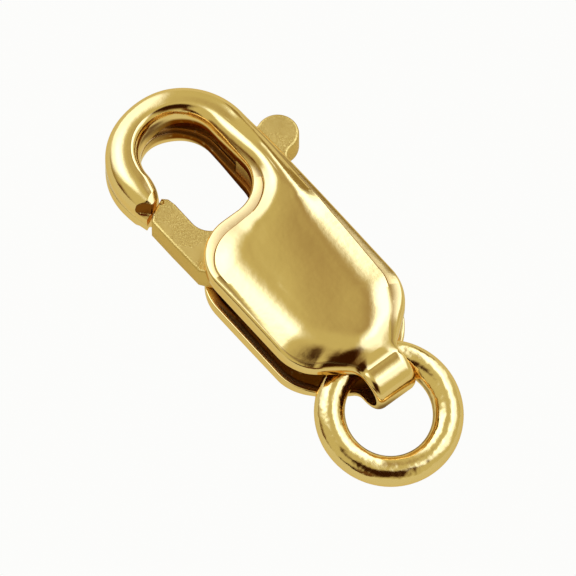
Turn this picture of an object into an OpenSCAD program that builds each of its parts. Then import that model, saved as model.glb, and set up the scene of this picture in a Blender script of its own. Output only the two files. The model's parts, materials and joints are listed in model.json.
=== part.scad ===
// Lobster claw clasp with its jump ring, lying on its back.
// +X runs from the hook to the ring, +Y towards the thumb tab, +Z up out of the front face.
// The body is one stamped sheet: a front shell and a back shell, folded into each other at the eye.

/* [Body] */
// Thickness over both shells
body_t = 2.38; // [2.1:0.02:2.8]
// Width of the body
body_w = 3.68; // [3.4:0.04:4.2]
// Thickness of the sheet
sheet_t = 0.24; // [0.18:0.01:0.28]
// Length of the straight side, from the hook's opening to the sloping shoulder
side_len = 3.7; // [3.3:0.05:4.6]
// Width of the rounded edge of each face, seen from the front
edge_w = 0.76; // [0.6:0.02:0.86]
// Height of that rounded edge
edge_h = 0.4; // [0.3:0.02:0.44]
// Radius of the corner that the gate goes in under
gate_corner_r = 1.3; // [1:0.05:1.4]
// Radius of the corner where the sides turn in to the eye
shoulder_r = 1.45; // [1.1:0.05:1.6]
// Angle that the sides turn in by
shoulder_turn = 52; // [46:1:58]

/* [Eye] */
// Width of the strip that is folded into the eye
neck_w = 1.2; // [1:0.02:1.3]
// Radius between the sloping shoulder and that strip
neck_fillet_r = 0.35; // [0.25:0.01:0.45]
// Straight length of the strip
neck_len = 0.05; // [0.03:0.01:0.5]
// How far each shell's rim is set back at the eye, to give the ring's wire room
eye_room = 0.06; // [0.04:0.01:0.1]
// Height of the flat at the outside of the fold
fold_flat = 0.02; // [0.02:0.02:0.4]

/* [Hook] */
// Length of the opening
opening_len = 3.29; // [3.05:0.02:4]
// Width of the opening between the spine and the gate
opening_w = 1.94; // [1.8:0.02:2]
// Radius of the opening's corner beside the body
opening_corner_r = 1.0; // [0.8:0.02:1.1]
// Width of the bar at the hook's crown
crown_w = 0.83; // [0.75:0.01:0.9]
// Thickness of the spine from front to back
spine_t = 2.04; // [1.8:0.02:2.1]
// Thickness of the crown from front to back
crown_t = 1.6; // [1.4:0.02:1.75]
// Thickness of the bar just before its end
tip_t = 1.36; // [1.2:0.02:1.5]
// Height of the flat face at the bar's end
tip_face_h = 0.84; // [0.6:0.02:1]
// Gap of the seam where the two shells are pressed together
seam_gap = 0.02; // [0.01:0.01:0.04]

/* [Lever] */
// Thickness of the lever's plate
lever_t = 0.76; // [0.72:0.01:0.84]
// Play between the plate and each shell
lever_play = 0.04; // [0.02:0.01:0.06]
// Gap between the gate and the hook's end
gate_gap = 0.06; // [0.04:0.01:0.1]
// How far the plate's edge lies behind the opening's edge
lever_recess = 0.08; // [0.04:0.01:0.14]
// Radius of the thumb tab
tab_r = 0.54; // [0.4:0.02:0.6]
// How far the middle of the tab stands out from the body's side
tab_out = 0.4; // [0.3:0.02:0.5]
// Distance of the tab's middle from the opening's end beside the body
tab_back = 1.28; // [1.2:0.02:1.6]
// Radius of the hidden pivot pin
pin_r = 0.3; // [0.24:0.01:0.36]
// Running clearance of the plate's hole round the pin
pin_clearance = 0.03; // [0.02:0.01:0.05]

/* [Jump ring] */
// Diameter of the ring's wire
wire_d = 0.77; // [0.7:0.01:0.8]
// How far above the body's middle plane the wire lies in the eye
ring_lift = 0.03; // [0:0.01:0.04]
// Inner diameter of the ring
ring_id = 2.2; // [2:0.01:2.6]
// Angle that the ring is swung towards the gate side
ring_swing = 14; // [0:1:20]
// Distance from the wire's middle in the eye to the outside of the fold
ring_set_back = 1.3; // [1.2:0.02:1.4]
// How far off the body's middle line the wire lies in the eye
ring_off = 0.06; // [0:0.02:0.12]

/* [Hidden] */

half_w = body_w / 2;
half_neck = neck_w / 2;
// The shells' facing rims lie this far from the middle plane
rim_h = lever_t / 2 + lever_play;
eye_h = rim_h + eye_room;
strip_h = rim_h + sheet_t;
half_t = body_t / 2;

// Plan positions, with X 0 at the opening's end beside the body and Y 0 on the body's middle line
shoulder_drop = shoulder_r * (1 - cos(shoulder_turn));
fillet_drop = neck_fillet_r * (1 - cos(shoulder_turn));
slope_len = (half_w - half_neck - shoulder_drop - fillet_drop) / sin(shoulder_turn);
slope_x = side_len + shoulder_r * sin(shoulder_turn);
neck_x = slope_x + slope_len * cos(shoulder_turn) + neck_fillet_r * sin(shoulder_turn);
bend_x = neck_x + neck_len;
fold_r = eye_h - fold_flat / 2;
fold_x = bend_x + fold_r + strip_h - eye_h;

// The opening's long sides, and the arc that ends it at the crown
spine_w = 0.94 * half_w / 1.84;
opening_top = half_w - spine_w;
opening_r = opening_w / 2;
opening_bottom = opening_top - opening_w;
crown_x = opening_r - opening_len;
// The crown's outside is two arcs, the second a little tighter
crown_r1 = opening_r + crown_w + 0.15;
crown_turn1 = 105;
crown_r2 = 0.925 * crown_r1;
crown_turn2 = 180 - crown_turn1;
crown_out_x = crown_x - opening_r - crown_w + crown_r1;
// How much of the body's side each stretch between the opening and the crown takes up
corner_side = 1.05 * gate_corner_r / 1.3;
wall_side = 0.3;
wall_len = half_w + opening_top - gate_corner_r - opening_corner_r;
spine_x = -opening_corner_r;
body_side = side_len - gate_corner_r;
outer_body_side = side_len - corner_side - wall_side - 0.25;
// The bar past the crown bends outwards on its inside and inwards on its outside
bar_in_turn = 33;
bar_in_len = 0.47;
bar_out_turn = 12;
bar_out_len = 0.70;
facet_len = 0.19;

function arc(r, turn) = r * turn * PI / 180;

// One row for each stretch from the eye round to the hook's end.
// Columns: outer length, outer turn, inner length, inner turn, steps
STRETCHES = [
    [neck_len, 0, neck_len, 0, 2],
    [arc(neck_fillet_r, shoulder_turn), -shoulder_turn, arc(neck_fillet_r, shoulder_turn), shoulder_turn, 4],
    [slope_len, 0, slope_len, 0, 4],
    [arc(shoulder_r, shoulder_turn), shoulder_turn, arc(shoulder_r, shoulder_turn), -shoulder_turn, 6],
    [outer_body_side, 0, body_side, 0, 3],
    [corner_side, 0, arc(gate_corner_r, 90), -90, 8],
    [wall_side, 0, wall_len, 0, 2],
    [0.25 - spine_x, 0, arc(opening_corner_r, 90), 90, 8],
    [spine_x - crown_out_x, 0, spine_x - crown_x, 0, 4],
    [arc(crown_r1, 60), 60, arc(opening_r, 60), 60, 5],
    [arc(crown_r1, crown_turn1 - 60), crown_turn1 - 60, arc(opening_r, 45), 45, 4],
    [arc(crown_r2, crown_turn2), crown_turn2, arc(opening_r, 75), 75, 6],
    [bar_out_len, bar_out_turn, bar_in_len, -bar_in_turn * 0.75, 4],
    [facet_len, bar_out_turn / 4, facet_len, -bar_in_turn / 4, 2],
];

// One row for each end of those stretches.
// Columns: top height, rim height, rounded edge's width, its height, share hollow, share square to the bar.
// Heights are from the middle plane.
SECTIONS = [
    [strip_h, eye_h, 0.8 * sheet_t, 0.55 * sheet_t, 1, 0],
    [strip_h, eye_h, 0.8 * sheet_t, 0.55 * sheet_t, 1, 0],
    [strip_h + 0.17 * (half_t - strip_h), eye_h, 0.3 * edge_w, 0.35 * edge_h, 1, 0],
    [strip_h + 0.86 * (half_t - strip_h), rim_h + 0.9 * eye_room, 0.8 * edge_w, 0.9 * edge_h, 1, 0],
    [half_t, rim_h, edge_w, edge_h, 1, 0],
    [half_t, rim_h, edge_w, edge_h, 1, 0],
    [half_t, rim_h, edge_w, edge_h, 1, 0],
    [half_t, rim_h, 0.95 * edge_w, edge_h, 1, 0],
    [0.4 * half_t + 0.3 * spine_t, rim_h, 0.49 * spine_w, edge_h, 1, 0],
    [0.46 * spine_t, 0.92 * rim_h, 0.48 * spine_w, 0.4 * spine_t / 2, 1, 0],
    [0.25 * spine_t + 0.25 * crown_t, 0.55 * rim_h, 0.48 * crown_w, 0.5 * crown_t / 2, 0.8, 0],
    [crown_t / 2, seam_gap / 2, 0.48 * crown_w, 0.56 * crown_t / 2, 0, 0.3],
    [0.6 * crown_t / 2 + 0.4 * tip_t / 2, seam_gap / 2, 0.47 * crown_w, 0.56 * crown_t / 2, 0, 0.7],
    [tip_t / 2, seam_gap / 2, 0.42 * crown_w, 0.6 * tip_t / 2, 0, 1],
    [tip_face_h / 2, seam_gap / 2, 0.3 * crown_w, 0.5 * tip_face_h / 2, 0, 1],
];

edge_steps = 5;
face_steps = 3;
fold_steps = 6;
inner_draft = 0.02;

function dir(a) = [cos(a), sin(a)];

// Point and heading after the share f of a stretch that starts at p with heading h
function along(p, h, len, turn, f) =
    turn == 0 ? [p + len * f * dir(h), h]
    : let (r = len * 180 / (PI * turn), g = h + turn * f)
      [p + r * [sin(g) - sin(h), cos(h) - cos(g)], g];

// Each stretch's start as [point, heading], for the outer side (c 0) or the inner side (c 2)
function starts(c, p, h, i = 0) =
    i == len(STRETCHES) ? [[p, h]]
    : let (e = along(p, h, STRETCHES[i][c], STRETCHES[i][c + 1], 1))
      concat([[p, h]], starts(c, e[0], e[1], i + 1));

OUTER = starts(0, [bend_x, half_neck], 180);
INNER = starts(2, [bend_x, -half_neck], 180);

// Distance along the middle of the claw to the start of each stretch
function run_to(i) = i == 0 ? 0 : run_to(i - 1) + (STRETCHES[i - 1][0] + STRETCHES[i - 1][2]) / 2;
RUN = [for (i = [0:len(STRETCHES)]) run_to(i)];

// Slope of section column c at row i that never overshoots the table
function secant(c, i) = (SECTIONS[i + 1][c] - SECTIONS[i][c]) / (RUN[i + 1] - RUN[i]);
function slope(c, i) =
    i == 0 || i == len(STRETCHES) ? 0
    : let (a = secant(c, i - 1), b = secant(c, i)) a * b <= 0 ? 0 : 2 * a * b / (a + b);
function section_value(c, i, f) =
    let (
        d = RUN[i + 1] - RUN[i],
        last = i == len(STRETCHES) - 1,
        m0 = last ? secant(c, i) : slope(c, i),
        m1 = last ? secant(c, i) : i == len(STRETCHES) - 2 ? secant(c, i) : slope(c, i + 1),
        f2 = f * f,
        f3 = f2 * f
    )
    (2 * f3 - 3 * f2 + 1) * SECTIONS[i][c] + (f3 - 2 * f2 + f) * d * m0
    + (3 * f2 - 2 * f3) * SECTIONS[i + 1][c] + (f3 - f2) * d * m1;

function unit(v) = v / norm(v);

// A station holds its outer point, inner point, the two inward directions and its section values
function station(i, f) =
    let (
        o = along(OUTER[i][0], OUTER[i][1], STRETCHES[i][0], STRETCHES[i][1], f),
        n = along(INNER[i][0], INNER[i][1], STRETCHES[i][2], STRETCHES[i][3], f),
        v = [for (c = [0:5]) section_value(c, i, f)],
        chord = unit(o[0] - n[0]),
        edge = min(v[2], 0.485 * norm(o[0] - n[0]))
    )
    [o[0], n[0], unit((1 - v[5]) * dir(o[1] + 90) - v[5] * chord),
     unit((1 - v[5]) * dir(n[1] - 90) + v[5] * chord), [v[0], v[1], edge, v[3], v[4]]];

STATIONS = [for (i = [0:len(STRETCHES) - 1], k = [0:STRETCHES[i][4] - (i == len(STRETCHES) - 1 ? 0 : 1)])
    station(i, k / STRETCHES[i][4])];

// Half of a section's outside: [distance in from the side, height above the rim], from the rim up
function outside(v) =
    let (wall = max(v[0] - v[1] - v[3], 0.02), b = v[0] - v[1] - wall)
    concat([[0, 0]], [for (k = [0:edge_steps]) let (a = 90 * k / edge_steps)
        [v[2] * (1 - cos(a)), wall + b * sin(a)]]);
// The same for the inside, which is flat where the sheet is pressed solid
function inside(v) =
    let (
        h = v[0] - v[1],
        deep = v[4] * max(h - sheet_t, 0) / h,
        wide = max(v[2] - sheet_t - inner_draft, 0.02)
    )
    [for (q = outside(v)) let (share = q[0] / v[2])
        [sheet_t * min(1, 2 * v[2] / sheet_t / 3) + (q[1] > 0 ? inner_draft + wide * share : 0), q[1] * deep]];

// One side of a station's loop, as [x, y, height above the rim] from the inner side to the outer
function across(s, half) =
    let (top = len(half) - 1, a = s[1] + s[3] * half[top][0], b = s[0] + s[2] * half[top][0])
    concat(
        [for (q = half) [each s[1] + s[3] * q[0], q[1]]],
        [for (k = [1:face_steps - 1]) [each a + (b - a) * k / face_steps, half[top][1]]],
        [for (k = [top:-1:0]) [each s[0] + s[2] * half[k][0], half[k][1]]]
    );
function loop(s) =
    let (o = across(s, outside(s[4])), n = across(s, inside(s[4])))
    concat(o, [for (k = [len(n) - 1:-1:0]) n[k]]);

// The front shell's loops, from the hook's end to the start of the fold
FRONT = [for (k = [len(STATIONS) - 1:-1:0])
    [for (p = loop(STATIONS[k])) [p[0], p[1], STATIONS[k][4][1] + p[2]]]];
// The strip's own loop carried round the fold to the middle plane
FOLD = concat(
    [for (k = [1:fold_steps]) let (a = 90 * k / fold_steps)
        [for (p = loop(STATIONS[0]))
            [bend_x + (fold_r + p[2]) * sin(a), p[1], eye_h - fold_r + (fold_r + p[2]) * cos(a)]]],
    [[for (p = loop(STATIONS[0])) [bend_x + fold_r + p[2], p[1], 0]]]
);
HALF = concat(FRONT, FOLD);
LOOPS = concat(HALF, [for (k = [len(HALF) - 2:-1:0]) [for (p = HALF[k]) [p[0], p[1], -p[2]]]]);

LOOP_N = len(LOOPS[0]);
BODY_POINTS = [for (l = LOOPS, p = l) [p[0], p[1], p[2] + half_t]];
BODY_SIDES = [for (k = [0:len(LOOPS) - 2], m = [0:LOOP_N - 1]) let (a = k * LOOP_N, b = a + LOOP_N, w = (m + 1) % LOOP_N)
    each [[a + m, b + w, b + m], [a + m, a + w, b + w]]];
// An end is a strip of triangles between its outside and its inside
function end_faces(base, flip) =
    [for (m = [0:LOOP_N / 2 - 2]) let (a = base + m, b = base + LOOP_N - 1 - m)
        each flip ? [[b, a + 1, a], [b, b - 1, a + 1]] : [[a, a + 1, b], [a + 1, b - 1, b]]];
BODY_FACES = concat(BODY_SIDES, end_faces(0, true), end_faces((len(LOOPS) - 1) * LOOP_N, false));

// The ends of the hook's bar, which the gate's end is set off from
tip_out = STATIONS[len(STATIONS) - 1][0];
tip_in = STATIONS[len(STATIONS) - 1][1];
tip_dir = unit(tip_in - tip_out);
gate_off = gate_gap * [tip_dir[1], -tip_dir[0]];

// Lever
pivot = [gate_corner_r - 0.15, -0.38 * half_w];
gate_side = -half_w + 0.03;
gate_inner = opening_bottom + 0.01;
tab = [-tab_back, half_w + tab_out];
lever_end_r = 0.2;
heel = [pivot[0] + 0.62, gate_side + 0.27];

// Points of an arc about c, from angle a to angle b
function arc_points(c, r, a, b, n) = [for (k = [0:n]) c + r * dir(a + (b - a) * k / n)];

gate_tip = tip_out + gate_off;
gate_back = tip_in + gate_off + 0.02 * tip_dir;
LEVER_OUTLINE = concat(
    // Gate's end, and its inner edge into the body
    [gate_tip, gate_back],
    [[gate_back[0] + 0.12, gate_inner - 0.04], [gate_back[0] + 0.38, gate_inner]],
    arc_points([lever_recess - 0.42, gate_inner + 0.46], 0.4, -90, 0, 5),
    // Round the end of the opening and along the spine
    arc_points([-opening_corner_r, opening_top - opening_corner_r], opening_corner_r + lever_recess, 0, 90, 8),
    [[tab[0] - 0.1, opening_top + lever_recess], [tab[0] - 0.34, opening_top + 0.3]],
    // Thumb tab
    arc_points(tab, tab_r, 205, 40, 12),
    // Hidden back edge down to the heel beside the pivot
    [[-0.4, half_w - 0.08], [0.35, 0.62 * half_w]],
    arc_points(pivot, 0.8, 75, 0, 6),
    [heel + [0.12, 0.25], heel],
    [[pivot[0] - 0.95, gate_side + 0.03], [gate_tip[0] + 0.9, gate_side]]
);

// Jump ring: it lies in the eye at half height, and its far side on the table
wire_r = wire_d / 2;
ring_r = (ring_id + wire_d) / 2;
eye_point = [fold_x - ring_set_back, -ring_off, half_t + ring_lift];
ring_droop = asin((eye_point[2] - wire_r) / (2 * ring_r));
ring_normal = [sin(ring_droop) * cos(ring_swing), -sin(ring_droop) * sin(ring_swing), cos(ring_droop)];
ring_mid = eye_point + ring_r * [cos(ring_droop) * cos(ring_swing), -cos(ring_droop) * sin(ring_swing), -sin(ring_droop)];

// Everything is shifted so that the middle of the whole outline is the origin
far_x = ring_mid[0] + ring_r * sqrt(1 - ring_normal[0] ^ 2) + wire_r;
far_y = ring_mid[1] - ring_r * sqrt(1 - ring_normal[1] ^ 2) - wire_r;
near_x = min([for (p = BODY_POINTS) p[0]]);
low_y = min(far_y, min([for (p = BODY_POINTS) p[1]]));
origin = [(near_x + far_x) / 2, (low_y + tab[1] + tab_r) / 2];

module placed() {
    translate([-origin[0], -origin[1], 0]) children();
}

// Folded sheet: front shell, back shell, hook and eye in one piece
module clasp_body() {
    color([0.80, 0.64, 0.34])
        placed() polyhedron(points = BODY_POINTS, faces = BODY_FACES, convexity = 8);
}

// Gate, hub and thumb tab in one flat plate
module lever() {
    color([0.74, 0.60, 0.33])
        placed() translate([0, 0, half_t - lever_t / 2]) difference() {
            linear_extrude(lever_t) polygon(LEVER_OUTLINE);
            translate([pivot[0], pivot[1], -1]) cylinder(r = pin_r + pin_clearance, h = lever_t + 2, $fn = 48);
        }
}

// Hidden pin, held between the insides of the two shells
module pivot_pin() {
    color([0.7, 0.56, 0.3])
        placed() translate([pivot[0], pivot[1], sheet_t]) cylinder(r = pin_r, h = body_t - 2 * sheet_t, $fn = 48);
}

// Round wire ring through the eye
module jump_ring() {
    color([0.82, 0.66, 0.36])
        placed() translate(eye_point) rotate([0, 0, -ring_swing]) rotate([0, ring_droop, 0])
            translate([ring_r, 0, 0]) rotate_extrude($fn = 64) translate([ring_r, 0]) circle(r = wire_r, $fn = 32);
}

clasp_body();
lever();
pivot_pin();
jump_ring();
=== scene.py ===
"""Looks of the gold lobster clasp: fine meshes in place of the faceted solids, gold, and a light tent."""

import json
from collections import namedtuple
from math import asin, cos, pi, radians, sin, tan

import bmesh
import bpy
import numpy as np
from mathutils import Matrix, Vector
from mathutils.geometry import delaunay_2d_cdt


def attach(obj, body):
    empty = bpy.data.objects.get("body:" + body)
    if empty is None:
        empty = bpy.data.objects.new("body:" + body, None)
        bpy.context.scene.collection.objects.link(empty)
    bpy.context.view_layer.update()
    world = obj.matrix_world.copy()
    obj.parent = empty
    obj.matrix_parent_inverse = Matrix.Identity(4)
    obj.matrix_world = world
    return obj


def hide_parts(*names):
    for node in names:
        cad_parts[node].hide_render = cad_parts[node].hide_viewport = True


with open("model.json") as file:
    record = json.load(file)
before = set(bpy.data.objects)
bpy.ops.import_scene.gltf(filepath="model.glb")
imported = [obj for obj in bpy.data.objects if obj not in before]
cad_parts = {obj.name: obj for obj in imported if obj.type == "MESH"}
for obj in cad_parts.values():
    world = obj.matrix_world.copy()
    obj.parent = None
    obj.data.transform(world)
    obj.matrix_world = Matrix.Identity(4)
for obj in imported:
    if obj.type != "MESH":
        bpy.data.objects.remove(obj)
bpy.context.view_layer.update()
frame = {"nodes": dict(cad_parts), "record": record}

MM = 0.001

# The camera's direction, its scale in pixels per millimetre of a 576 pixel frame, and its lens
AZIMUTH, ELEVATION = 50.8, 61.0
PIXELS_PER_MM = 40.0
FRAME_PIXELS = 576
LENS, SENSOR = 900.0, 36.0
# A point of the plan, and how far right of and above the frame's middle it lies in the photograph
MARK, MARK_RIGHT, MARK_UP = (1.48, 1.68), 1.05, 0.95

# Sizes in millimetres and turns in degrees, as in the part's source, of the body
BODY_T, BODY_W, SHEET_T = 2.38, 3.68, 0.24
SIDE_LEN, EDGE_W, EDGE_H = 3.7, 0.76, 0.40
GATE_CORNER_R, SHOULDER_R, SHOULDER_TURN = 1.3, 1.45, 52.0
NECK_W, NECK_FILLET_R, NECK_LEN = 1.2, 0.35, 0.05
EYE_ROOM, FOLD_FLAT = 0.06, 0.02
OPENING_LEN, OPENING_W, OPENING_CORNER_R = 3.29, 1.94, 1.0
CROWN_W, SPINE_T, CROWN_T, TIP_T = 0.83, 2.04, 1.6, 1.36
SEAM_GAP = 0.02
# of the lever
LEVER_T, LEVER_PLAY, GATE_GAP, LEVER_RECESS = 0.76, 0.04, 0.06, 0.08
TAB_R, TAB_OUT, TAB_BACK = 0.54, 0.4, 1.28
PIN_R, PIN_CLEARANCE = 0.3, 0.03
# and of the jump ring
WIRE_D, RING_ID, RING_LIFT, RING_SWING, RING_SET_BACK, RING_OFF = 0.77, 2.2, 0.03, 14.0, 1.3, 0.06

# Sizes that the part's source doesn't name: the hook's thickness at its very end, the lever's small forms
TIP_END_T = 1.16
HEEL_LEN, HEEL_BACK, HUB_R = 0.62, 0.45, 0.8
GATE_INSET, GATE_FILLET_R, LEVER_EDGE_R = 0.03, 0.585, 0.07
# The corner cut off the gate's tip: its lengths along the gate and across it
TIP_CORNER = (0.1, 0.17)
# The tab's flare into the body on the ring's side: how far beyond its radius in x, and from its middle in y
TAB_FLARE = ((0.02, -0.09), (0.08, -0.17), (0.18, -0.25), (0.34, -0.33))

HALF_W, HALF_NECK, HALF_T = BODY_W / 2, NECK_W / 2, BODY_T / 2
RIM_H = LEVER_T / 2 + LEVER_PLAY
EYE_H = RIM_H + EYE_ROOM
STRIP_H = RIM_H + SHEET_T
# The face rises a little from its edge to its middle
FACE_RISE = 0.039
FACE_EDGE_T = HALF_T - FACE_RISE


def turn_len(r, turn):
    """Length of an arc."""
    return r * radians(turn)


def heading(a):
    """Unit vector in the plan at angle a in degrees."""
    return np.array([cos(radians(a)), sin(radians(a))])


def unit(v):
    """Vector v at length 1."""
    return v / np.linalg.norm(v)


SHOULDER_DROP = SHOULDER_R * (1 - cos(radians(SHOULDER_TURN)))
FILLET_DROP = NECK_FILLET_R * (1 - cos(radians(SHOULDER_TURN)))
SLOPE_LEN = (HALF_W - HALF_NECK - SHOULDER_DROP - FILLET_DROP) / sin(radians(SHOULDER_TURN))
SLOPE_X = SIDE_LEN + SHOULDER_R * sin(radians(SHOULDER_TURN))
NECK_X = SLOPE_X + SLOPE_LEN * cos(radians(SHOULDER_TURN)) + NECK_FILLET_R * sin(radians(SHOULDER_TURN))
BEND_X = NECK_X + NECK_LEN
FOLD_R = EYE_H - FOLD_FLAT / 2
FOLD_X = BEND_X + FOLD_R + STRIP_H - EYE_H

SPINE_W = 0.94 * HALF_W / 1.84
OPENING_TOP = HALF_W - SPINE_W
OPENING_R = OPENING_W / 2
OPENING_BOTTOM = OPENING_TOP - OPENING_W
CROWN_X = OPENING_R - OPENING_LEN
CROWN_R1 = OPENING_R + CROWN_W + 0.15
CROWN_TURN1 = 105.0
CROWN_R2 = 0.925 * CROWN_R1
CROWN_TURN2 = 180.0 - CROWN_TURN1
CROWN_OUT_X = CROWN_X - OPENING_R - CROWN_W + CROWN_R1
CORNER_SIDE = 0.75 * GATE_CORNER_R / 1.3
WALL_SIDE, THROAT_SIDE, THROAT_X = 0.15, 0.2, 0.5
WALL_LEN = HALF_W + OPENING_TOP - GATE_CORNER_R - OPENING_CORNER_R
SPINE_X = -OPENING_CORNER_R
BODY_SIDE = SIDE_LEN - GATE_CORNER_R
OUTER_BODY_SIDE = SIDE_LEN - CORNER_SIDE - WALL_SIDE - THROAT_SIDE - THROAT_X
SIDE_TURN = 30.0
NECK_TURN = SHOULDER_TURN - SIDE_TURN
FILLET_LEN = turn_len(NECK_FILLET_R, SHOULDER_TURN)
NECK_ARC, SIDE_ARC = turn_len(SHOULDER_R, NECK_TURN), turn_len(SHOULDER_R, SIDE_TURN)
BAR_IN_TURN, BAR_IN_LEN, BAR_OUT_TURN, BAR_OUT_LEN, FACET_LEN = 33.0, 0.47, 12.0, 0.70, 0.19

# The body's outline in stretches from the neck to the hook's end: outer length, outer turn, inner length,
# inner turn, steps. The turns are in degrees.
STRETCHES = [
    (NECK_LEN, 0, NECK_LEN, 0, 3),
    (FILLET_LEN, -SHOULDER_TURN, FILLET_LEN, SHOULDER_TURN, 16),
    (SLOPE_LEN, 0, SLOPE_LEN, 0, 16),
    (NECK_ARC, NECK_TURN, NECK_ARC, -NECK_TURN, 12),
    (SIDE_ARC, SIDE_TURN, SIDE_ARC, -SIDE_TURN, 14),
    (OUTER_BODY_SIDE, 0, BODY_SIDE, 0, 16),
    (CORNER_SIDE, 0, turn_len(GATE_CORNER_R, 90), -90, 32),
    (WALL_SIDE, 0, WALL_LEN, 0, 8),
    (THROAT_SIDE, 0, turn_len(OPENING_CORNER_R, 45), 45, 14),
    (THROAT_X - SPINE_X, 0, turn_len(OPENING_CORNER_R, 45), 45, 18),
    (SPINE_X - CROWN_OUT_X, 0, SPINE_X - CROWN_X, 0, 18),
    (turn_len(CROWN_R1, 60), 60, turn_len(OPENING_R, 60), 60, 24),
    (turn_len(CROWN_R1, CROWN_TURN1 - 60), CROWN_TURN1 - 60, turn_len(OPENING_R, 45), 45, 18),
    (turn_len(CROWN_R2, CROWN_TURN2), CROWN_TURN2, turn_len(OPENING_R, 75), 75, 28),
    (BAR_OUT_LEN, BAR_OUT_TURN, BAR_IN_LEN, -BAR_IN_TURN * 0.75, 34),
    (FACET_LEN, BAR_OUT_TURN / 4, FACET_LEN, -BAR_IN_TURN / 4, 14),
]

# Top height, rim height, the rounded edge's width and height, share hollow, share square to the bar, share
# soft, lean of the crest, width of the ledge beside the inner and the outer wall, and how many times as tall
# the inner rounded edge is
Section = namedtuple("Section", "top rim edge_w edge_h hollow square soft lean inner_ledge outer_ledge gain")
STRIP = (STRIP_H, EYE_H, 0.8 * SHEET_T, 0.55 * SHEET_T, 1, 1, 0, 0, 0, 0, 1)
# The sections where the stretches start and end; both ends of the first one have the strip's
SECTIONS = [
    STRIP,
    STRIP,
    (STRIP_H + 0.42 * (HALF_T - STRIP_H), EYE_H, 0.95 * EDGE_W, 0.24, 1, 1, 0.4, 0, 0, 0.15, 1.35),
    (0.955 * HALF_T, RIM_H + 0.9 * EYE_ROOM, 1.6 * EDGE_W, 0.4, 1, 0.85, 0.4, 0, 0, 0.3, 1.42),
    (FACE_EDGE_T, RIM_H, 1.45 * EDGE_W, 1.05 * EDGE_H, 1, 0.35, 0.75, -0.04, 0, 0.28, 1.25),
    (FACE_EDGE_T, RIM_H, 1.5 * EDGE_W, 1.05 * EDGE_H, 1, 0, 1, -0.11, 0.0, 0.2, 1.05),
    (FACE_EDGE_T, RIM_H, 1.40 * EDGE_W, EDGE_H, 1, 0, 1, 0.02, 0.08, 0.13, 1),
    (FACE_EDGE_T, RIM_H, 1.18 * EDGE_W, EDGE_H, 1, 0, 1, 0.15, 0.26, 0.12, 1),
    (FACE_EDGE_T, RIM_H, 0.98 * EDGE_W, EDGE_H, 1, 0, 1, 0.08, 0.26, 0.12, 1),
    (0.997 * FACE_EDGE_T, RIM_H, 0.89 * EDGE_W, EDGE_H, 1, 0, 0.95, 0.05, 0.2, 0.11, 1),
    (0.4 * HALF_T + 0.3 * SPINE_T, RIM_H, 0.49 * SPINE_W, EDGE_H, 1, 0, 0.4, -0.05, 0.1, 0.05, 1.05),
    (0.46 * SPINE_T, 0.92 * RIM_H, 0.48 * SPINE_W, 0.4 * SPINE_T / 2, 1, 0, 0, -0.15, 0, 0, 1.15),
    (0.25 * SPINE_T + 0.25 * CROWN_T, 0.55 * RIM_H, 0.48 * CROWN_W, 0.5 * CROWN_T / 2, 0.8, 0, 0, -0.3, 0, 0,
     1.3),
    (CROWN_T / 2, SEAM_GAP / 2, 0.48 * CROWN_W, 0.56 * CROWN_T / 2, 0, 0.3, 0, -0.35, 0, 0, 1.35),
    (0.3 * CROWN_T + 0.2 * TIP_T, SEAM_GAP / 2, 0.47 * CROWN_W, 0.56 * CROWN_T / 2, 0, 0.7, 0, -0.35, 0, 0,
     1.35),
    (TIP_T / 2, SEAM_GAP / 2, 0.42 * CROWN_W, 0.6 * TIP_T / 2, 0, 1, 0, -0.25, 0, 0, 1.25),
    (TIP_END_T / 2, SEAM_GAP / 2, 0.38 * CROWN_W, 0.6 * TIP_END_T / 2, 0, 1, 0, -0.2, 0, 0, 1.2),
]

EDGE_STEPS, CORNER_STEPS, FACE_STEPS, FOLD_STEPS, RIM_STEPS = 18, 7, 8, 18, 3
# Rounded edges are at most this share of the bar's width, and raised ones of their section's height
EDGE_MOST_W, EDGE_MOST_H = 0.485, 0.8
# The edge's tight corner: its radius, its most as shares of the edge's width and height, and how much a ledge
# sharpens it
CORNER_R, CORNER_MOST_W, CORNER_MOST_H, LEDGE_SHARPENS = 0.2, 0.42, 0.5, 0.4
# The soft slope: the tilt at the corner's end without a ledge, the share of it that stays straight, and the
# pieces in which it is added up
BEVEL_TURN, BEVEL_FLAT, BEVEL_PIECES = 22.0, 0.35, 24
# The rim's small radius, its most as a share of the wall above it, and that wall's least height
RIM_ROUND, RIM_MOST_ROUND, LEAST_WALL = 0.035, 0.45, 0.02
# The ledge: its tilt, how much flatter it is where the section is square to the bar, the width from which it
# counts in full, the share of its width that it rises on, and the width added to each
LEDGE_TURN, LEDGE_SQUARE, LEDGE_FULL_W, LEDGE_RISE, LEDGE_EXTRA_W = 30.0, 0.55, 0.1, 0.7, 0.01
# The small step beside it
STEP_W, STEP_H = 0.035, 0.05
# Inside of the sheet: its draft, its rim's radius as a share of the sheet at most, and its edge's least width
INNER_DRAFT, INNER_MOST_ROUND, INNER_LEAST_W = 0.02, 0.4, 0.02
# The filled face: its grid, the grid steps that its points keep from the edge, its crown, and the distance
# from both ends over which that fades
FACE_GRID, FACE_CLEARANCE, CROWN_LIFT, CROWN_FADE = 0.08, 0.6, 0.0003, 1.2
# Facet that cuts off the end's outer corner: its heading in the plan, its slope, its foot's height and depth
TIP_CUT_HEADING, TIP_CUT_TURN, TIP_CUT_H, TIP_CUT_DEPTH = -46.0, 72.0, 0.27, 0.18
# Painted shade in the press line's crease and painted dark reflection on that facet, and the steps over which
# the painted shade fades: into the hook, at the opening's corner, and at both ends of the press line
PRESS_LINE_SHADE, TIP_CUT_SHADE = 0.6, 2.0
HOOK_FADE, OPENING_FADE, PRESS_FADE_NECK, PRESS_FADE_HOOK = 24, 10, 12, 10


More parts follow.
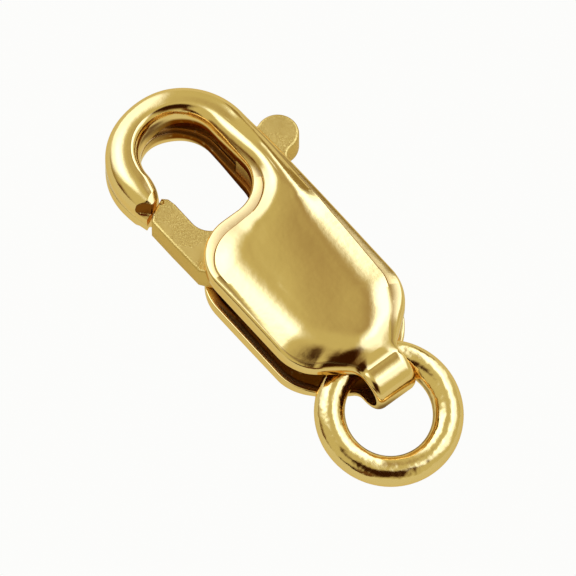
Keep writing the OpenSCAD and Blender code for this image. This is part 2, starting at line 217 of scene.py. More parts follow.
def along(p, h, length, turn, f):
    """Point and heading after the share f of a stretch that starts at p with heading h."""
    if turn == 0:
        return p + length * f * heading(h), h
    r = length / radians(turn)
    g = h + turn * f
    return p + r * np.array([sin(radians(g)) - sin(radians(h)), cos(radians(h)) - cos(radians(g))]), g


def starts(column, p, h):
    """Starts of the stretches and the last one's end, with the headings; column 0 is outer and 2 inner."""
    out = [(np.array(p, float), h)]
    for row in STRETCHES:
        out.append(along(*out[-1], row[column], row[column + 1], 1))
    return out


OUTER = starts(0, (BEND_X, HALF_NECK), 180)
INNER = starts(2, (BEND_X, -HALF_NECK), 180)
# Mean distance run at the start of every stretch
RUN = [0.0]
for row in STRETCHES:
    RUN.append(RUN[-1] + (row[0] + row[2]) / 2)


def secant(c, i):
    """Mean slope of section column c along stretch i."""
    return (SECTIONS[i + 1][c] - SECTIONS[i][c]) / (RUN[i + 1] - RUN[i])


def slope(c, i):
    """Slope of section column c at the start of stretch i: level at the table's ends, highs and lows."""
    if i == 0 or i == len(STRETCHES):
        return 0
    a, b = secant(c, i - 1), secant(c, i)
    return 0 if a * b <= 0 else 2 * a * b / (a + b)


def section_value(c, i, f):
    """Section column c at the share f of stretch i, smooth and never past the table's values."""
    d = RUN[i + 1] - RUN[i]
    last = len(STRETCHES) - 1
    m0 = secant(c, i) if i == last else slope(c, i)
    m1 = secant(c, i) if i >= last - 1 else slope(c, i + 1)
    f2, f3 = f * f, f * f * f
    return ((2 * f3 - 3 * f2 + 1) * SECTIONS[i][c] + (f3 - 2 * f2 + f) * d * m0
            + (3 * f2 - 2 * f3) * SECTIONS[i + 1][c] + (f3 - f2) * d * m1)


# Outer and inner point of the body's outline, the directions inwards from them, and the section between them
Station = namedtuple("Station", "outer inner from_outer from_inner section")


def station(i, f):
    """Station at the share f of stretch i."""
    o, oh = along(*OUTER[i], STRETCHES[i][0], STRETCHES[i][1], f)
    n, nh = along(*INNER[i], STRETCHES[i][2], STRETCHES[i][3], f)
    v = Section(*[section_value(c, i, f) for c in range(len(Section._fields))])
    chord = unit(o - n)
    v = v._replace(edge_w=min(v.edge_w, EDGE_MOST_W * np.linalg.norm(o - n)))
    return Station(o, n, unit((1 - v.square) * heading(oh + 90) - v.square * chord),
                   unit((1 - v.square) * heading(nh - 90) + v.square * chord), v)


def edge_curve(ew, eh, ledge, ledge_turn):
    """Soft edge of width ew and height eh from the side's top to the face, as (distance in, height).

    It has a tight corner, a ledge of that width, a small step in the press line beside it, and then a slope
    that levels out.
    """
    part = min(1, ledge / LEDGE_FULL_W)
    t0 = radians(BEVEL_TURN + part * (ledge_turn - BEVEL_TURN))
    corner = CORNER_R * (1 if eh <= EDGE_H else (EDGE_H / eh) ** 2)
    corner = min(corner, CORNER_MOST_W * ew, CORNER_MOST_H * eh)
    corner *= 1 - LEDGE_SHARPENS * part
    pts = [(corner * (1 - cos(f)), corner * sin(f)) for f in np.linspace(0, pi / 2 - t0, CORNER_STEPS + 1)]
    x0, z0 = pts[-1]
    pts.append((x0 + ledge + LEDGE_EXTRA_W, z0 + (ledge * LEDGE_RISE + LEDGE_EXTRA_W) * tan(t0)))
    pts.append((pts[-1][0] + STEP_W, pts[-1][1] + STEP_W * tan(t0) + part * STEP_H))
    run = ew - pts[-1][0]
    k = BEVEL_PIECES
    rise = [0.0]
    for i in range(k):
        levelled = max(0.0, (i + 0.5) / k - BEVEL_FLAT) / (1 - BEVEL_FLAT)
        rise.append(rise[-1] + (1 - levelled) * run / k)
    gain = (eh - pts[-1][1]) / rise[-1]
    x0, z0 = pts[-1]
    for f in np.linspace(0, 1, EDGE_STEPS - CORNER_STEPS - 1)[1:]:
        pts.append((x0 + f * run, z0 + gain * np.interp(f * k, range(k + 1), rise)))
    return pts


def profiles(v, ledge, taller=1.0):
    """Half of a section's outside and inside, as (distance in from the side, height above the rim)."""
    h, ew, eh, share = v.top - v.rim, v.edge_w, v.edge_h, v.soft
    eh = min(eh * taller, EDGE_MOST_H * h) if taller > 1 else eh
    wall = max(h - eh, LEAST_WALL)
    b = h - wall
    rr = min(RIM_ROUND, RIM_MOST_ROUND * wall)
    outer = [(rr * (1 - sin(t)), rr * (1 - cos(t))) for t in np.linspace(0, pi / 2, RIM_STEPS + 1)[:-1]]
    outer += [(0.0, rr)]
    soft = edge_curve(ew, b, ledge, LEDGE_TURN * (1 - LEDGE_SQUARE * v.square))
    round_edge = [(ew * (1 - cos(t)), b * sin(t)) for t in np.linspace(0, pi / 2, EDGE_STEPS + 1)]
    shoulder = [(share * p[0] + (1 - share) * q[0], wall + share * p[1] + (1 - share) * q[1])
                for p, q in zip(soft, round_edge)]
    outer += shoulder
    # The inside is one sheet thickness in and down, and lies in the rim's plane where nothing is hollow
    deep = v.hollow * max(h - SHEET_T, 0) / h
    wide = max(ew - SHEET_T - INNER_DRAFT, INNER_LEAST_W)
    inset = SHEET_T * min(1, 2 * ew / SHEET_T / 3)
    r2 = min(rr, INNER_MOST_ROUND * inset)
    inner = [(inset - r2 * (1 - sin(t)), 0.5 * r2 * (1 - cos(t)) * min(1, 4 * deep))
             for t in np.linspace(0, pi / 2, RIM_STEPS + 1)[:-1]]
    inner += [(inset, 0.5 * r2 * min(1, 4 * deep))]
    inner += [(inset + INNER_DRAFT + wide * q[0] / ew, q[1] * deep) for q in shoulder]
    return outer, inner


def across(s, inner_half, outer_half):
    """Points of station s from its inner side over the face to its outer side: (x, y, height above the rim).

    A lean below 0 moves the crest towards the inner side.
    """
    o, n, so, sn, v = s
    k_in, k_out = 1 + v.lean, 1 - v.lean
    a, b = n + sn * inner_half[-1][0] * k_in, o + so * outer_half[-1][0] * k_out
    pts = [(*(n + sn * q[0] * k_in), q[1]) for q in inner_half]
    pts += [(*(a + (b - a) * k / FACE_STEPS), inner_half[-1][1]) for k in range(1, FACE_STEPS)]
    pts += [(*(o + so * q[0] * k_out), q[1]) for q in reversed(outer_half)]
    return pts


def section_loop(s):
    """Closed loop of station s: its outside, then its inside back again."""
    outer_a, inner_a = profiles(s.section, s.section.inner_ledge, s.section.gain)
    outer_b, inner_b = profiles(s.section, s.section.outer_ledge)
    return across(s, outer_a, outer_b) + across(s, inner_a, inner_b)[::-1]


def tip_facet(x, y):
    """Height of the small facet across the outer corner of the hook's end."""
    d = (OUTER[-1][0] - (x, y)) @ heading(TIP_CUT_HEADING) - TIP_CUT_DEPTH
    return TIP_CUT_H + max(d, 0) * tan(radians(TIP_CUT_TURN))


# Sections of the last two stretches, which the facet may cut
TIP_STEPS = STRETCHES[-1][4] + STRETCHES[-2][4]


def body_loops():
    """All the sheet's sections, from the hook's end on the front shell round the fold to the back shell."""
    stations = [station(i, k / row[4]) for i, row in enumerate(STRETCHES)
                for k in range(row[4] + (i == len(STRETCHES) - 1))]
    front = [[(x, y, s.section.rim + z) for x, y, z in section_loop(s)] for s in reversed(stations)]
    for k in range(TIP_STEPS):
        front[k] = [(x, y, min(z, tip_facet(x, y))) for x, y, z in front[k]]
    strip = section_loop(stations[0])
    fold = []
    for a in np.linspace(0, pi / 2, FOLD_STEPS + 1)[1:]:
        fold.append([(BEND_X + (FOLD_R + z) * sin(a), y, EYE_H - FOLD_R + (FOLD_R + z) * cos(a))
                     for x, y, z in strip])
    fold.append([(BEND_X + FOLD_R + z, y, 0.0) for x, y, z in strip])
    half = front + fold
    back = [[(x, y, -z) for x, y, z in loop] for loop in reversed(half[:-1])]
    return half + back, stations


LOOPS, STATIONS = body_loops()
PIVOT = np.array([GATE_CORNER_R - 0.15, -0.38 * HALF_W])
joint_at = Vector(frame["record"]["behaviour"]["joints"][0]["pos_m"]) / MM
SHIFT = np.array([joint_at.x - PIVOT[0], joint_at.y - PIVOT[1], 0.0])


# Edges that turn more than this are shaded sharp, on the sheet and the ring, and on the lever
SHARP_TURN, LEVER_SHARP_TURN = 38.0, 25.0


def new_mesh(name, points, faces, painted_shade=None):
    """Mesh object from points in millimetres of the plan, shaded smooth but for sharp edges.

    painted_shade holds how much shade is painted into the metal's colour at each point: 0 is none, 1 is dark
    with lighter specks, and above 1 the specks get fewer.
    """
    mesh = bpy.data.meshes.new(name)
    mesh.from_pydata([tuple((np.array(p) + SHIFT) * MM) for p in points], [], faces)
    if painted_shade is not None:
        mesh.attributes.new("painted_shade", "FLOAT", "POINT").data.foreach_set("value", painted_shade)
    mesh.polygons.foreach_set("use_smooth", [True] * len(mesh.polygons))
    bm = bmesh.new()
    bm.from_mesh(mesh)
    loose = [v for v in bm.verts if not v.link_faces]
    bmesh.ops.delete(bm, geom=loose, context="VERTS")
    bmesh.ops.recalc_face_normals(bm, faces=bm.faces)
    bm.to_mesh(mesh)
    bm.free()
    mesh.set_sharp_from_angle(angle=radians(SHARP_TURN))
    obj = bpy.data.objects.new(name, mesh)
    bpy.context.scene.collection.objects.link(obj)
    return obj


def harmonic(n, triangles, fixed, lift):
    """Heights of n points on a stretched skin: as given in fixed, else the neighbours' mean plus the lift."""
    near = [set() for _ in range(n)]
    for tri in triangles:
        for i in range(3):
            near[tri[i]].add(tri[i - 1])
            near[tri[i - 1]].add(tri[i])
    m, rhs = np.eye(n), np.zeros(n)
    for i in range(n):
        if i in fixed:
            rhs[i] = fixed[i]
        else:
            m[i, list(near[i])] = -1 / len(near[i])
            rhs[i] = lift[i]
    return np.linalg.solve(m, rhs)


def fill_face(points, ring, lift, ends):
    """Add points and return triangles that fill the ring of point numbers with a smooth, crowned face.

    ends are the two lines, as pairs of point numbers, at which the crown has faded out.
    """
    rim = np.array([points[i][:2] for i in ring])
    lo, hi = rim.min(0), rim.max(0)
    inside = []
    closed = np.vstack([rim, rim[:1]])
    seg = closed[1:] - closed[:-1]
    for gx in np.arange(lo[0], hi[0], FACE_GRID):
        for gy in np.arange(lo[1], hi[1], FACE_GRID):
            q = np.array([gx, gy])
            f = np.clip(((q - rim) * seg).sum(1) / np.maximum((seg ** 2).sum(1), 1e-9), 0, 1)
            if np.min(np.linalg.norm(rim + seg * f[:, None] - q, axis=1)) < FACE_CLEARANCE * FACE_GRID:
                continue
            # A point is inside the rim if it has an odd number of edges to its right
            side = (closed[:-1, 1] > gy) != (closed[1:, 1] > gy)
            cross = rim[:, 0] + (gy - rim[:, 1]) * seg[:, 0] / np.where(seg[:, 1] == 0, 1e-9, seg[:, 1])
            if np.count_nonzero(side & (cross > gx)) % 2:
                inside.append(q)
    flat = [Vector(q) for q in rim] + [Vector(q) for q in inside]
    tris = delaunay_2d_cdt(flat, [], [list(range(len(ring)))], 1, 1e-7)[2]
    lifts = []
    for q in flat:
        away = CROWN_FADE
        for i, j in ends:
            p, line = np.array(points[i][:2]), np.array(points[j][:2]) - np.array(points[i][:2])
            away = min(away, abs(line[0] * (q.y - p[1]) - line[1] * (q.x - p[0])) / np.linalg.norm(line))
        lifts.append(lift * (away / CROWN_FADE) ** 2)
    z = harmonic(len(flat), tris, {i: points[k][2] for i, k in enumerate(ring)}, lifts)
    first = len(points)
    points += [(q[0], q[1], z[len(ring) + i]) for i, q in enumerate(inside)]
    number = list(ring) + list(range(first, first + len(inside)))
    return [tuple(number[i] for i in tri) for tri in tris]


# Numbers of the stations where the stretches end, and by name the stretches at whose ends something changes
ENDS = np.cumsum([row[4] for row in STRETCHES])
NECK, SLOPE_TO_SIDE, GATE_WALL, THROAT, SPINE, CROWN = 0, 3, 7, 8, 10, 11


def clamped(x):
    """x, kept between 0 and 1."""
    return min(1, max(0, x))


def body_painted_shade(n, count):
    """Painted shade of count points, of which the first are the loops' with n points each."""
    last = len(LOOPS) - 1
    painted_shade = [0.0] * count
    press_line = RIM_STEPS + CORNER_STEPS + 2
    for k in range(len(LOOPS)):
        # The station's number, counted from the neck on either shell
        j = len(STATIONS) - 1 - min(k, last - k)
        # Painted shade: the sheet's hollow inside, fading out along the hook, and the walls facing into the
        # opening are painted dark
        inside_shade = clamped(1 - (j - ENDS[CROWN]) / HOOK_FADE)
        opening_shade = clamped((j - ENDS[GATE_WALL]) / OPENING_FADE) * inside_shade
        pressed = clamped((j - ENDS[NECK]) / PRESS_FADE_NECK) * clamped((ENDS[SPINE] - j) / PRESS_FADE_HOOK)
        for m in range(n):
            if m >= n // 2 + RIM_STEPS:
                painted_shade[k * n + m] = inside_shade
            elif m <= RIM_STEPS + 2:
                painted_shade[k * n + m] = opening_shade
            elif m == RIM_STEPS + 3:
                painted_shade[k * n + m] = 0.5 * opening_shade
        # Painted dark reflection: the small facet across the hook end's outer corner is painted fully dark
        if k < TIP_STEPS:
            for m, (x, y, z) in enumerate(LOOPS[k][:n // 2]):
                level = tip_facet(x, y)
                cut = level > TIP_CUT_H + 0.01 and z > level - 0.001
                painted_shade[k * n + m] = TIP_CUT_SHADE if cut else 0.0
        # Painted shade in the press line's crease, fading out at both of its ends
        for m in (press_line, n // 2 - 1 - press_line):
            painted_shade[k * n + m] = max(painted_shade[k * n + m], PRESS_LINE_SHADE * pressed)
    return painted_shade


def make_body():
    """Folded sheet shell: front with the hook, neck, fold and back."""
    n, last = len(LOOPS[0]), len(LOOPS) - 1
    points = [(x, y, z) for loop in LOOPS for x, y, z in loop]
    side = RIM_STEPS + 1 + EDGE_STEPS
    # Where the section lines would run along the throat's edge, the face is filled instead
    k0, k1 = len(STATIONS) - 1 - ENDS[THROAT], len(STATIONS) - 1 - ENDS[SLOPE_TO_SIDE]
    faces = []
    for k in range(last):
        filled = k0 <= k < k1 or last - k1 <= k < last - k0
        a, b = k * n, (k + 1) * n
        for m in range(n):
            if filled and side <= m < side + FACE_STEPS:
                continue
            faces.append((a + m, b + m, b + (m + 1) % n, a + (m + 1) % n))
    for mirror in (1, -1):
        base = [(k if mirror == 1 else last - k) * n + side for k in range(k0, k1 + 1)]
        ring = base[:-1] + [base[-1] + m for m in range(FACE_STEPS)]
        ring += [i + FACE_STEPS for i in reversed(base[1:])] + [base[0] + m for m in range(FACE_STEPS, 0, -1)]
        ends = [(base[0], base[0] + FACE_STEPS), (base[-1], base[-1] + FACE_STEPS)]
        faces += fill_face(points, ring, mirror * CROWN_LIFT, ends)
    # The two flat ends of the hook
    for base in (0, last * n):
        faces += [(base + m, base + m + 1, base + n - 2 - m, base + n - 1 - m) for m in range(n // 2 - 1)]
    painted_shade = body_painted_shade(n, len(points))
    return new_mesh("sheet_body", [(x, y, z + HALF_T) for x, y, z in points], faces, painted_shade=painted_shade)


def arc_points(c, r, a, b, n):
    """Points in n steps on the arc of radius r round c, from angle a to b."""
    return [np.array(c) + r * heading(a + (b - a) * k / n) for k in range(n + 1)]


def lever_outline():
    """The lever's plan outline: the solid's, with finer arcs, the tab's flare and the gate's small corner."""
    tip_out, tip_in = STATIONS[-1].outer, STATIONS[-1].inner
    t = unit(tip_in - tip_out)
    off = GATE_GAP * np.array([t[1], -t[0]])
    gate_side, gate_inner = -HALF_W + GATE_INSET, OPENING_BOTTOM + 0.01
    tab = np.array([-TAB_BACK, HALF_W + TAB_OUT])
    gate_tip, gate_back = tip_out + off, tip_in + off + 0.02 * t
    pts = [gate_tip + np.array([TIP_CORNER[0], 0]), gate_tip + TIP_CORNER[1] * t, gate_back]
    pts += [np.array([gate_back[0] + 0.12, gate_inner - 0.04]), np.array([gate_back[0] + 0.34, gate_inner])]
    pts += arc_points([LEVER_RECESS - 0.70, gate_inner + GATE_FILLET_R], GATE_FILLET_R, -90, -5, 14)
    corner = [-OPENING_CORNER_R, OPENING_TOP - OPENING_CORNER_R]
    pts += arc_points(corner, OPENING_CORNER_R + LEVER_RECESS, 0, 90, 20)
    pts += [np.array([tab[0] - 0.1, OPENING_TOP + LEVER_RECESS])]
    pts += [np.array([tab[0] - 0.34, OPENING_TOP + 0.3])]
    pts += arc_points(tab, TAB_R, 205, 0, 44)
    pts += [tab + np.array([TAB_R + x, y]) for x, y in TAB_FLARE]
    pts += [np.array([-0.2, HALF_W - 0.12]), np.array([0.35, 0.62 * HALF_W])]
    pts += arc_points(PIVOT, HUB_R, 75, 0, 12)
    heel_x, heel_y = PIVOT[0] + HEEL_LEN, gate_side + HEEL_BACK
    pts += [np.array([heel_x - 0.1, heel_y + 0.36]), np.array([heel_x, heel_y + 0.2])]
    pts += [np.array([heel_x - 0.06, heel_y])]
    pts += [np.array([PIVOT[0] - 0.2, gate_side + 0.3]), np.array([PIVOT[0] - 0.6, gate_side + 0.02])]
    pts += [np.array([gate_tip[0] + 0.9, gate_side])]
    return pts


def make_lever():
    """Flat plate with finely rounded edges and the hole for the pivot."""
    curve = bpy.data.curves.new("lever_plate", "CURVE")
    curve.dimensions = "2D"
    curve.fill_mode = "BOTH"
    curve.extrude = (LEVER_T / 2 - LEVER_EDGE_R) * MM
    curve.bevel_depth = LEVER_EDGE_R * MM
    curve.bevel_resolution = 4
    curve.offset = -LEVER_EDGE_R * MM
    hole = arc_points(PIVOT, PIN_R + PIN_CLEARANCE, 0, 352.5, 47)
    for pts in (lever_outline(), hole):
        spline = curve.splines.new("POLY")
        spline.points.add(len(pts) - 1)
        for p, q in zip(spline.points, pts):
            p.co = ((q[0] + SHIFT[0]) * MM, (q[1] + SHIFT[1]) * MM, 0, 1)
        spline.use_cyclic_u = True
    source = bpy.data.objects.new("lever_curve", curve)
    bpy.context.scene.collection.objects.link(source)
    bpy.context.view_layer.update()
    mesh = bpy.data.meshes.new_from_object(source)
    bpy.data.objects.remove(source)
    mesh.transform(Matrix.Translation((0, 0, HALF_T * MM)))
    mesh.name = "lever_plate"
    mesh.polygons.foreach_set("use_smooth", [True] * len(mesh.polygons))
    mesh.set_sharp_from_angle(angle=radians(LEVER_SHARP_TURN))
    obj = bpy.data.objects.new("lever_plate", mesh)
    bpy.context.scene.collection.objects.link(obj)
    return obj


def make_ring():
    """Round wire ring through the eye, which leans down to the floor on its far side."""
    wire_r, ring_r = WIRE_D / 2, (RING_ID + WIRE_D) / 2
    eye = np.array([FOLD_X - RING_SET_BACK, -RING_OFF, HALF_T + RING_LIFT])
    droop = asin((eye[2] - wire_r) / (2 * ring_r))
    turn = Matrix.Rotation(radians(-RING_SWING), 3, "Z") @ Matrix.Rotation(droop, 3, "Y")
    points, faces = [], []
    n_ring, n_wire = 144, 36
    for i in range(n_ring):
        a = 2 * pi * i / n_ring
        for j in range(n_wire):
            b = 2 * pi * j / n_wire
            r = ring_r + wire_r * cos(b)
            p = turn @ Vector((ring_r + r * cos(a), r * sin(a), wire_r * sin(b)))
            points.append(np.array(p) + eye)
            k, m = (i + 1) % n_ring, (j + 1) % n_wire
            faces.append((i * n_wire + j, k * n_wire + j, k * n_wire + m, i * n_wire + m))
    return new_mesh("ring_wire", points, faces)


def node(tree, kind, at=(0, 0), **values):
    """New shader node; values are its properties, or its inputs by name with spaces as underscores."""
    n = tree.nodes.new(kind)
    n.location = at
    for key, value in values.items():
        if hasattr(n, key):
            setattr(n, key, value)
        else:
            n.inputs[key.replace("_", " ")].default_value = value
    return n


# The metal's colour seen straight on, its tint at a grazing angle, and the brown of the painted shade
GOLD, GRAZING, PAINTED_SHADE = (0.95, 0.66, 0.28), (1.0, 0.82, 0.55), (0.27, 0.09, 0.012)
# Roughness in smooth and in dull blotches as shares of the metal's own, and roughness where shade is painted
SMOOTH, DULL, PAINTED_SHADE_ROUGH = 0.75, 1.35, 0.4
# Noise of the blotches and of the lighter specks in the painted shade: scale per millimetre and detail
BLOTCHES, SPECKS = (1.1, 3.0), (7.0, 3.0)
SPECK_FROM, SPECK_TO = -0.1, 0.4
# Noise of the uneven surface: scale per millimetre, detail, and height in millimetres at the amount 1
WAVES, GRAIN, SCRATCHES = (2.3, 2.0, 0.02), (38.0, 3.0, 0.009), (9.0, 6.0, 0.004)
# The gate's dimple: its place in the plan, radius and depth, and the share of the radius where it is deepest
DIMPLE_AT, DIMPLE_R, DIMPLE_DEPTH, DIMPLE_FLAT = (-1.56, -1.27), 0.085, 0.08, 0.4


def gold(name, color, rough, grain=0.0, wave=0.0, scratch=0.0, tint=0.04, painted_shade=False, dimple=False):
    """Gold metal of that colour and roughness.

    grain is a fine matt texture, wave a soft unevenness, scratch a finer one, and tint how far the colour
    varies. With painted_shade it darkens by the mesh's attribute of that name, which paints shade into the
    colour. With dimple it has the gate's dimple.
    """
    mat = bpy.data.materials.new(name)
    mat.use_nodes = True
    t = mat.node_tree
    bsdf = t.nodes["Principled BSDF"]
    bsdf.inputs["Metallic"].default_value = 1.0
    bsdf.inputs["Specular Tint"].default_value = (*GRAZING, 1)
    coords = node(t, "ShaderNodeTexCoord", (-1400, 0))
    mm = node(t, "ShaderNodeMapping", (-1200, 0), vector_type="POINT")
    mm.inputs["Scale"].default_value = (1 / MM,) * 3
    t.links.new(coords.outputs["Object"], mm.inputs["Vector"])

    def noise(scale, detail, at):
        n = node(t, "ShaderNodeTexNoise", at, Scale=scale, Detail=detail)
        t.links.new(mm.outputs["Vector"], n.inputs["Vector"])
        return n.outputs["Fac"]

    def mapped(value, at, **ends):
        n = node(t, "ShaderNodeMapRange", at, **ends)
        t.links.new(value, n.inputs["Value"])
        return n.outputs["Result"]

    def mixed(factor, a, b, at):
        n = node(t, "ShaderNodeMix", at, data_type="RGBA")
        t.links.new(factor, n.inputs[0])
        for socket, value in ((n.inputs[6], a), (n.inputs[7], b)):
            if isinstance(value, tuple):
                socket.default_value = (*value, 1)
            else:
                t.links.new(value, socket)
        return n.outputs[2]

    blotch = noise(*BLOTCHES, (-900, 300))
    dull = mapped(blotch, (-650, 120), To_Min=rough * SMOOTH, To_Max=rough * DULL)
    shade = mixed(blotch, tuple(c * (1 - tint) for c in color), tuple(min(1, c * (1 + tint)) for c in color),
                  (-400, 300))
    # Painted shade: the mesh's attribute darkens the colour and the grazing tint towards brown, with lighter
    # specks, and roughens the metal there
    if painted_shade:
        amount = node(t, "ShaderNodeAttribute", (-650, 500), attribute_name="painted_shade").outputs["Fac"]
        speck = mapped(noise(*SPECKS, (-900, 600)), (-500, 500), From_Min=SPECK_FROM, From_Max=SPECK_TO)
        part = node(t, "ShaderNodeMath", (-350, 500), operation="MULTIPLY")
        t.links.new(amount, part.inputs[0])
        t.links.new(speck, part.inputs[1])
        shade = mixed(part.outputs[0], shade, PAINTED_SHADE, (-200, 300))
        t.links.new(mixed(part.outputs[0], GRAZING, PAINTED_SHADE, (-200, 500)), bsdf.inputs["Specular Tint"])
        duller = node(t, "ShaderNodeMix", (-200, 100))
        t.links.new(part.outputs[0], duller.inputs[0])
        t.links.new(dull, duller.inputs[2])
        duller.inputs[3].default_value = PAINTED_SHADE_ROUGH
        dull = duller.outputs[0]
    t.links.new(shade, bsdf.inputs["Base Color"])
    t.links.new(dull, bsdf.inputs["Roughness"])

    def bumped(height, strength, distance, at, below):
        n = node(t, "ShaderNodeBump", at, Strength=strength, Distance=distance)
        t.links.new(height, n.inputs["Height"])
        if below:
            t.links.new(below, n.inputs["Normal"])
        return n.outputs["Normal"]

    normal = None
    for amount, (scale, detail, depth) in ((wave, WAVES), (grain, GRAIN), (scratch, SCRATCHES)):
        if amount:
            y = -200 - scale * 20
            normal = bumped(noise(scale, detail, (-900, y)), min(1, amount), depth * max(1, amount) * MM,
                            (-400, y), normal)
    if dimple:
        spot = node(t, "ShaderNodeVectorMath", (-900, -900), operation="DISTANCE")
        t.links.new(mm.outputs["Vector"], spot.inputs[0])
        x, y = SHIFT[0] + DIMPLE_AT[0], SHIFT[1] + DIMPLE_AT[1]
        spot.inputs[1].default_value = (x, y, HALF_T + LEVER_T / 2)
        cup = mapped(spot.outputs["Value"], (-650, -900), interpolation_type="SMOOTHSTEP",
                     From_Min=DIMPLE_FLAT * DIMPLE_R, From_Max=DIMPLE_R)
        normal = bumped(cup, 1.0, DIMPLE_DEPTH * MM, (-400, -900), normal)
    t.links.new(normal, bsdf.inputs["Normal"])
    return mat


body_gold = gold("polished_gold", GOLD, 0.10, grain=0.08, wave=0.3, scratch=0.3, tint=0.06, painted_shade=True)
lever_gold = gold("matt_gold", (0.75, 0.485, 0.155), 0.26, grain=1.0, wave=0.3, tint=0.08, dimple=True)
ring_gold = gold("ring_gold", GOLD, 0.12, grain=0.1, wave=1.8, scratch=0.45, tint=0.08)
pin_gold = gold("pin_gold", (0.70, 0.54, 0.26), 0.3, grain=0.3)

body = make_body()
body.data.materials.append(body_gold)
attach(body, "clasp")
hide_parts("clasp_body")

lever = make_lever()
lever.data.materials.append(lever_gold)
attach(lever, "lever")
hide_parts("lever")

ring = make_ring()
ring.data.materials.append(ring_gold)
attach(ring, "clasp")
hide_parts("jump_ring")

frame["nodes"]["pivot_pin"].material_slots[0].material = pin_gold

# Camera: the same direction and scale as the photograph's, from far off
a, e = radians(AZIMUTH), radians(ELEVATION)
back = Vector((sin(a) * cos(e), -cos(a) * cos(e), sin(e)))
right = Vector((cos(a), sin(a), 0))
up = back.cross(right)
mark = Vector((SHIFT[0] + MARK[0], SHIFT[1] + MARK[1], 0))
target = mark - right * MARK_RIGHT - up * MARK_UP
cam_data = bpy.data.cameras.new("camera")
cam_data.lens = LENS
cam_data.sensor_width = SENSOR
cam_data.clip_start, cam_data.clip_end = 0.01, 2.0
camera = bpy.data.objects.new("camera", cam_data)
bpy.context.scene.collection.objects.link(camera)
distance = FRAME_PIXELS / PIXELS_PER_MM * LENS / cam_data.sensor_width
camera.location = (target + back * distance) * MM
camera.rotation_mode = "QUATERNION"
camera.rotation_quaternion = (-back).to_track_quat("-Z", "Y")
bpy.context.scene.camera = camera

# Floor: a white lit table, which shows a little darker in the metal than to the eye, as an overexposed one
# does. Its half size is in metres and its drop below the clasp in millimetres.
FLOOR_HALF, FLOOR_DROP = 0.6, 0.002
FLOOR_SEEN, FLOOR_LIT, FLOOR_SHADED = (1, 1, 0.985, 1), (0.665, 0.7, 0.525, 1), (0.08, 0.03, 0.01, 1)
FLOOR_BRIGHTNESS = 0.975
# Painted shadows on the floor, which only the metal's reflections show, where the clasp would shade it:
# place in the plan, radius, and the shade's depth
SHADE_CORE = 0.2
SHADES = ((-1.3, 0.7, 1.1, 0.9), (-2.3, 0.8, 0.9, 0.85), (FOLD_X + 0.15, -0.42, 1.25, 0.8))
floor_mesh = bpy.data.meshes.new("floor")
corners = [(x * FLOOR_HALF, y * FLOOR_HALF, 0) for x, y in ((-1, -1), (1, -1), (1, 1), (-1, 1))]
floor_mesh.from_pydata(corners, [], [(0, 1, 2, 3)])
floor = bpy.data.objects.new("floor", floor_mesh)
bpy.context.scene.collection.objects.link(floor)
floor.location.z = -FLOOR_DROP * MM
floor_mat = bpy.data.materials.new("floor_white")
floor_mat.use_nodes = True
ft = floor_mat.node_tree
ft.nodes.clear()
seen = node(ft, "ShaderNodeEmission", (0, 200), Color=FLOOR_SEEN, Strength=FLOOR_BRIGHTNESS)
lit = node(ft, "ShaderNodeEmission", (0, 0))
where = node(ft, "ShaderNodeTexCoord", (-900, 0))
shade = None
# Painted shadows: each spot darkens the floor's emitted colour towards brown as the metal mirrors it
for x, y, r, depth in SHADES:
    spot = node(ft, "ShaderNodeVectorMath", (-700, 0), operation="DISTANCE")
    ft.links.new(where.outputs["Object"], spot.inputs[0])
    spot.inputs[1].default_value = ((x + SHIFT[0]) * MM, (y + SHIFT[1]) * MM, 0)
    fade = node(ft, "ShaderNodeMapRange", (-500, 0), interpolation_type="SMOOTHSTEP")
    ft.links.new(spot.outputs["Value"], fade.inputs["Value"])
    fade.inputs["From Min"].default_value = SHADE_CORE * r * MM
    fade.inputs["From Max"].default_value = r * MM
    fade.inputs["To Min"].default_value = 1 - depth
    if shade is None:
        shade = fade.outputs["Result"]
    else:
        both_spots = node(ft, "ShaderNodeMath", (-300, 0), operation="MULTIPLY")
        ft.links.new(shade, both_spots.inputs[0])
        ft.links.new(fade.outputs["Result"], both_spots.inputs[1])
        shade = both_spots.outputs[0]
tone = node(ft, "ShaderNodeMix", (-150, 0), data_type="RGBA")
ft.links.new(shade, tone.inputs[0])
tone.inputs[6].default_value = FLOOR_SHADED
tone.inputs[7].default_value = FLOOR_LIT
ft.links.new(tone.outputs[2], lit.inputs["Color"])
path = node(ft, "ShaderNodeLightPath", (0, 500))
both = node(ft, "ShaderNodeMixShader", (200, 200))
ft.links.new(path.outputs["Is Camera Ray"], both.inputs[0])
ft.links.new(lit.outputs[0], both.inputs[1])
ft.links.new(seen.outputs[0], both.inputs[2])
ft.links.new(both.outputs[0], node(ft, "ShaderNodeOutputMaterial", (400, 200)).inputs[0])
floor.data.materials.append(floor_mat)

# Light tent. Places in it are named by the tilt that a small mirror needs to show them to a viewer who stands
# where the photographer did: to the right and up, each as the sine of the angle.
world = bpy.data.worlds.new("tent")
bpy.context.scene.world = world
world.use_nodes = True
wt = world.node_tree
wt.nodes.clear()
direction = node(wt, "ShaderNodeTexCoord", (-1600, 0)).outputs["Generated"]


def world_math(kind, *values, vector=False):
    """Outputs of a math node of the world; values are numbers, tuples or other nodes' outputs."""
    n = node(wt, "ShaderNodeVectorMath" if vector else "ShaderNodeMath", operation=kind)
    for socket, value in zip(n.inputs, values):
        if isinstance(value, (int, float, tuple)):
            socket.default_value = value
        else:
            wt.links.new(value, socket)
    return n.outputs


unit_dir = world_math("NORMALIZE", direction, vector=True)[0]
half = world_math("NORMALIZE", world_math("ADD", unit_dir, tuple(back), vector=True)[0], vector=True)[0]
tilt_right = world_math("DOT_PRODUCT", half, tuple(right), vector=True)["Value"]
tilt_up = world_math("DOT_PRODUCT", half, tuple(up), vector=True)["Value"]


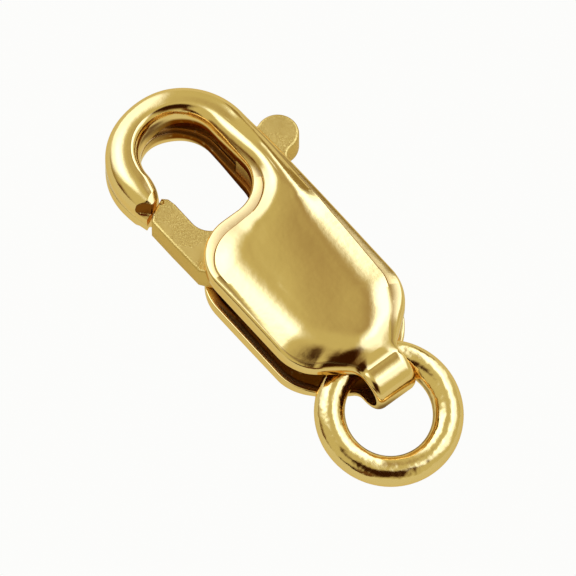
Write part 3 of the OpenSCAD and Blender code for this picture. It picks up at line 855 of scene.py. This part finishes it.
def patch(below, color, x, y, w, h, soft):
    """Soft-edged rectangle of the tent at x, y in another colour; w and h are half sizes."""
    masks = []
    for tilt, middle, size in ((tilt_right, x, w), (tilt_up, y, h)):
        ramp = node(wt, "ShaderNodeMapRange", interpolation_type="SMOOTHSTEP")
        off_middle = world_math("ABSOLUTE", world_math("SUBTRACT", tilt, middle)[0])[0]
        wt.links.new(off_middle, ramp.inputs["Value"])
        ramp.inputs["From Min"].default_value = size + soft
        ramp.inputs["From Max"].default_value = max(size - soft, 0)
        masks.append(ramp.outputs["Result"])
    mix = node(wt, "ShaderNodeMix", data_type="RGBA")
    wt.links.new(world_math("MULTIPLY", *masks)[0], mix.inputs[0])
    if isinstance(below, tuple):
        mix.inputs[6].default_value = (*below, 1)
    else:
        wt.links.new(below, mix.inputs[6])
    mix.inputs[7].default_value = (*color, 1)
    return mix.outputs[2]


CREAM, MID, WHITE, HOT = (0.59, 0.60, 0.36), (0.40, 0.35, 0.20), (1.3, 1.6, 2.1), (2.0, 2.6, 3.2)
TAN, BROWN, BLACK = (0.30, 0.24, 0.09), (0.12, 0.05, 0.01), (0.03, 0.008, 0.0)
# Patches, each over those before it: colour, place to the right and up, half width, half height, softness
PATCHES = [
    (MID, 0.10, 0.47, 0.09, 0.12, 0.09),
    (TAN, 0.92, 0.1, 0.20, 0.5, 0.06),
    (BROWN, 1.0, 0.1, 0.12, 0.5, 0.06),
    (TAN, -0.72, 0.0, 0.10, 0.35, 0.1),
    (BROWN, -0.66, -0.17, 0.09, 0.16, 0.05),
    (WHITE, -0.40, 0.50, 0.24, 0.30, 0.09),
    (HOT, -0.34, 0.36, 0.12, 0.16, 0.1),
    (WHITE, 0.35, 0.31, 0.17, 0.34, 0.07),
    (HOT, 0.30, 0.42, 0.07, 0.26, 0.06),
    (TAN, 0.46, 0.75, 0.16, 0.12, 0.03),
    (BROWN, 0.05, -0.19, 0.2, 0.22, 0.08),
    (BLACK, 0.03, -0.18, 0.16, 0.17, 0.04),
    (BROWN, -0.36, -0.42, 0.30, 0.08, 0.04),
    (BLACK, -0.38, -0.42, 0.16, 0.06, 0.03),
]
tent = CREAM
for row in PATCHES:
    tent = patch(tent, *row)
bg = node(wt, "ShaderNodeBackground", (800, 0))
wt.links.new(tent, bg.inputs["Color"])
wt.links.new(bg.outputs[0], node(wt, "ShaderNodeOutputWorld", (1000, 0)).inputs[0])

bpy.context.scene.view_settings.view_transform = "Standard"
